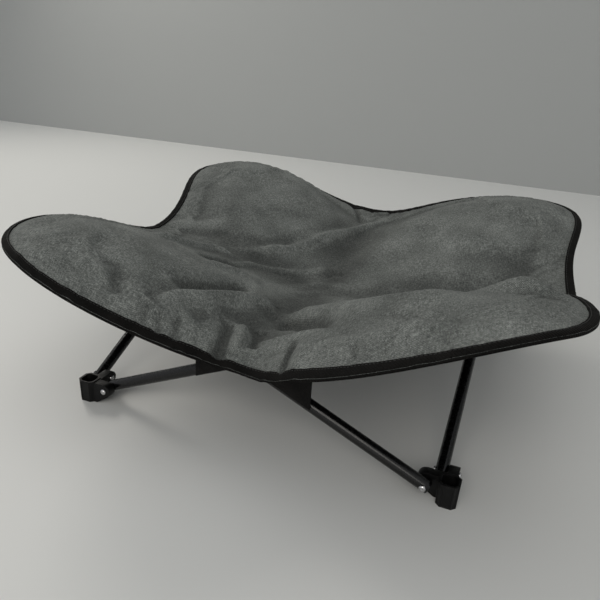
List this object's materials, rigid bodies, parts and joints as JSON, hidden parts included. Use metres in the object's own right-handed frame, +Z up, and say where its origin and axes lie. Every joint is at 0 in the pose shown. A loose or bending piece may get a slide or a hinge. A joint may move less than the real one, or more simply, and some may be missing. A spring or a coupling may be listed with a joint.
{
  "type": "folding pet bed",
  "caption": "Low square pet bed: a padded grey cloth cover with black edging, slung between the corner hubs of a scissor frame of black tubes on moulded feet.",
  "frame": {"origin": "on the floor, under the middle of the frame; the overall box's middle is within 4 mm of it", "axes": "+Z up; the front, with the tab over the crossing tubes, faces -Y; the right side faces +X"},
  "size_m": [0.6506, 0.6695, 0.2428],
  "materials": {
    "black_enamelled_steel": "gloss black enamel",
    "black_moulded_nylon": "satin, as moulded",
    "bright_steel": "bright plated",
    "grey_woven_polyester": "mottled woven cloth over wadding",
    "black_tape": "matte woven tape and lining cloth"
  },
  "bodies": {
    "foot_front_left": {"foot_front_left": "black_moulded_nylon", "foot_rivet_front_left_x": "bright_steel", "foot_rivet_front_left_y": "bright_steel"},
    "foot_front_right": {"foot_front_right": "black_moulded_nylon", "foot_rivet_front_right_x": "bright_steel", "foot_rivet_front_right_y": "bright_steel"},
    "foot_rear_right": {"foot_rear_right": "black_moulded_nylon", "foot_rivet_rear_right_x": "bright_steel", "foot_rivet_rear_right_y": "bright_steel"},
    "foot_rear_left": {"foot_rear_left": "black_moulded_nylon", "foot_rivet_rear_left_x": "bright_steel", "foot_rivet_rear_left_y": "bright_steel"},
    "front_tube_a": {"front_tube_a": "black_enamelled_steel", "cross_rivet_front": "bright_steel", "cross_spacer_front": "black_moulded_nylon"},
    "front_tube_b": {"front_tube_b": "black_enamelled_steel"},
    "right_tube_a": {"right_tube_a": "black_enamelled_steel", "cross_rivet_right": "bright_steel", "cross_spacer_right": "black_moulded_nylon"},
    "right_tube_b": {"right_tube_b": "black_enamelled_steel"},
    "rear_tube_a": {"rear_tube_a": "black_enamelled_steel"},
    "rear_tube_b": {"rear_tube_b": "black_enamelled_steel", "cross_rivet_rear": "bright_steel", "cross_spacer_rear": "black_moulded_nylon"},
    "left_tube_a": {"left_tube_a": "black_enamelled_steel"},
    "left_tube_b": {"left_tube_b": "black_enamelled_steel", "cross_rivet_left": "bright_steel", "cross_spacer_left": "black_moulded_nylon"},
    "top_hub_front_left": {"top_hub_front_left": "black_moulded_nylon", "top_rivet_front_left_x": "bright_steel", "top_rivet_front_left_y": "bright_steel", "cover": "grey_woven_polyester", "edge_binding": "black_tape"},
    "top_hub_front_right": {"top_hub_front_right": "black_moulded_nylon", "top_rivet_front_right_x": "bright_steel", "top_rivet_front_right_y": "bright_steel"},
    "top_hub_rear_right": {"top_hub_rear_right": "black_moulded_nylon", "top_rivet_rear_right_x": "bright_steel", "top_rivet_rear_right_y": "bright_steel"},
    "top_hub_rear_left": {"top_hub_rear_left": "black_moulded_nylon", "top_rivet_rear_left_x": "bright_steel", "top_rivet_rear_left_y": "bright_steel"},
    "corner_pocket_front_left": {"corner_pocket_front_left": "black_tape"},
    "corner_pocket_front_right": {"corner_pocket_front_right": "black_tape"},
    "corner_pocket_rear_right": {"corner_pocket_rear_right": "black_tape"},
    "corner_pocket_rear_left": {"corner_pocket_rear_left": "black_tape"},
    "front_tab": {"front_tab": "black_tape"}
  },
  "joints": [
    {"name": "fold", "type": "hinge", "parent": "foot_front_left", "child": "front_tube_a", "pos_m": [-0.2005, -0.2225, 0.018], "axis": [0, -1, 0], "range_deg": [0, 56]},
    {"name": "front_cross", "type": "hinge", "parent": "front_tube_a", "child": "front_tube_b", "pos_m": [0, -0.2225, 0.108], "axis": [0, 1, 0], "range_deg": [0, 112]},
    {"name": "front_right_foot_pivot", "type": "hinge", "parent": "front_tube_b", "child": "foot_front_right", "pos_m": [0.2005, -0.2225, 0.018], "axis": [0, -1, 0], "range_deg": [0, 56]},
    {"name": "front_left_top_pivot", "type": "hinge", "parent": "front_tube_b", "child": "top_hub_front_left", "pos_m": [-0.2005, -0.2225, 0.198], "axis": [0, -1, 0], "range_deg": [0, 56], "deforming": ["cover", "edge_binding"]},
    {"name": "front_right_top_pivot", "type": "hinge", "parent": "front_tube_a", "child": "top_hub_front_right", "pos_m": [0.2005, -0.2225, 0.198], "axis": [0, 1, 0], "range_deg": [0, 56]},
    {"name": "front_tab_level", "type": "hinge", "parent": "front_tube_a", "child": "front_tab", "pos_m": [0, -0.2225, 0.108], "axis": [0, 1, 0], "range_deg": [0, 56], "deforming": ["front_tab"]},
    {"name": "right_near_pivot", "type": "hinge", "parent": "foot_front_right", "child": "right_tube_a", "pos_m": [0.2225, -0.2005, 0.018], "axis": [1, 0, 0], "range_deg": [0, 56]},
    {"name": "right_cross", "type": "hinge", "parent": "right_tube_a", "child": "right_tube_b", "pos_m": [0.2225, 0, 0.108], "axis": [-1, 0, 0], "range_deg": [0, 112]},
    {"name": "rear_right_foot_pivot", "type": "hinge", "parent": "right_tube_b", "child": "foot_rear_right", "pos_m": [0.2225, 0.2005, 0.018], "axis": [1, 0, 0], "range_deg": [0, 56]},
    {"name": "rear_right_top_pivot", "type": "hinge", "parent": "right_tube_a", "child": "top_hub_rear_right", "pos_m": [0.2225, 0.2005, 0.198], "axis": [-1, 0, 0], "range_deg": [0, 56]},
    {"name": "left_near_pivot", "type": "hinge", "parent": "foot_front_left", "child": "left_tube_b", "pos_m": [-0.2225, -0.2005, 0.018], "axis": [1, 0, 0], "range_deg": [0, 56]},
    {"name": "left_cross", "type": "hinge", "parent": "left_tube_b", "child": "left_tube_a", "pos_m": [-0.2225, 0, 0.108], "axis": [-1, 0, 0], "range_deg": [0, 112]},
    {"name": "rear_left_foot_pivot", "type": "hinge", "parent": "left_tube_a", "child": "foot_rear_left", "pos_m": [-0.2225, 0.2005, 0.018], "axis": [1, 0, 0], "range_deg": [0, 56]},
    {"name": "rear_left_top_pivot", "type": "hinge", "parent": "left_tube_b", "child": "top_hub_rear_left", "pos_m": [-0.2225, 0.2005, 0.198], "axis": [-1, 0, 0], "range_deg": [0, 56]},
    {"name": "rear_near_pivot", "type": "hinge", "parent": "foot_rear_left", "child": "rear_tube_b", "pos_m": [-0.2005, 0.2225, 0.018], "axis": [0, -1, 0], "range_deg": [0, 56]},
    {"name": "rear_cross", "type": "hinge", "parent": "rear_tube_b", "child": "rear_tube_a", "pos_m": [0, 0.2225, 0.108], "axis": [0, 1, 0], "range_deg": [0, 112]},
    {"name": "corner_pocket_front_left_tilt", "type": "hinge", "parent": "top_hub_front_left", "child": "corner_pocket_front_left", "pos_m": [-0.2225, -0.2225, 0.216], "axis": [-0.7071, 0.7071, 0], "range_deg": [0, 57.2], "deforming": ["corner_pocket_front_left"]},
    {"name": "corner_pocket_front_right_tilt", "type": "hinge", "parent": "top_hub_front_right", "child": "corner_pocket_front_right", "pos_m": [0.2225, -0.2225, 0.216], "axis": [-0.7071, -0.7071, 0], "range_deg": [0, 57.2], "deforming": ["corner_pocket_front_right"]},
    {"name": "corner_pocket_rear_right_tilt", "type": "hinge", "parent": "top_hub_rear_right", "child": "corner_pocket_rear_right", "pos_m": [0.2225, 0.2225, 0.216], "axis": [0.7071, -0.7071, 0], "range_deg": [0, 57.2], "deforming": ["corner_pocket_rear_right"]},
    {"name": "corner_pocket_rear_left_tilt", "type": "hinge", "parent": "top_hub_rear_left", "child": "corner_pocket_rear_left", "pos_m": [-0.2225, 0.2225, 0.216], "axis": [0.7071, 0.7071, 0], "range_deg": [0, 57.2], "deforming": ["corner_pocket_rear_left"]}
  ],
  "couplings": [
    {"joint": "front_cross", "follows": "fold", "ratio": 2},
    {"joint": "front_right_foot_pivot", "follows": "fold", "ratio": 1},
    {"joint": "front_left_top_pivot", "follows": "fold", "ratio": 1},
    {"joint": "front_right_top_pivot", "follows": "fold", "ratio": 1},
    {"joint": "front_tab_level", "follows": "fold", "ratio": 1},
    {"joint": "right_near_pivot", "follows": "fold", "ratio": 1},
    {"joint": "right_cross", "follows": "fold", "ratio": 2},
    {"joint": "rear_right_foot_pivot", "follows": "fold", "ratio": 1},
    {"joint": "rear_right_top_pivot", "follows": "fold", "ratio": 1},
    {"joint": "left_near_pivot", "follows": "fold", "ratio": 1},
    {"joint": "left_cross", "follows": "fold", "ratio": 2},
    {"joint": "rear_left_foot_pivot", "follows": "fold", "ratio": 1},
    {"joint": "rear_left_top_pivot", "follows": "fold", "ratio": 1},
    {"joint": "rear_near_pivot", "follows": "fold", "ratio": 1},
    {"joint": "rear_cross", "follows": "fold", "ratio": 2},
    {"joint": "corner_pocket_front_left_tilt", "follows": "fold", "ratio": 1.02},
    {"joint": "corner_pocket_front_right_tilt", "follows": "fold", "ratio": 1.02},
    {"joint": "corner_pocket_rear_right_tilt", "follows": "fold", "ratio": 1.02},
    {"joint": "corner_pocket_rear_left_tilt", "follows": "fold", "ratio": 1.02}
  ]
}
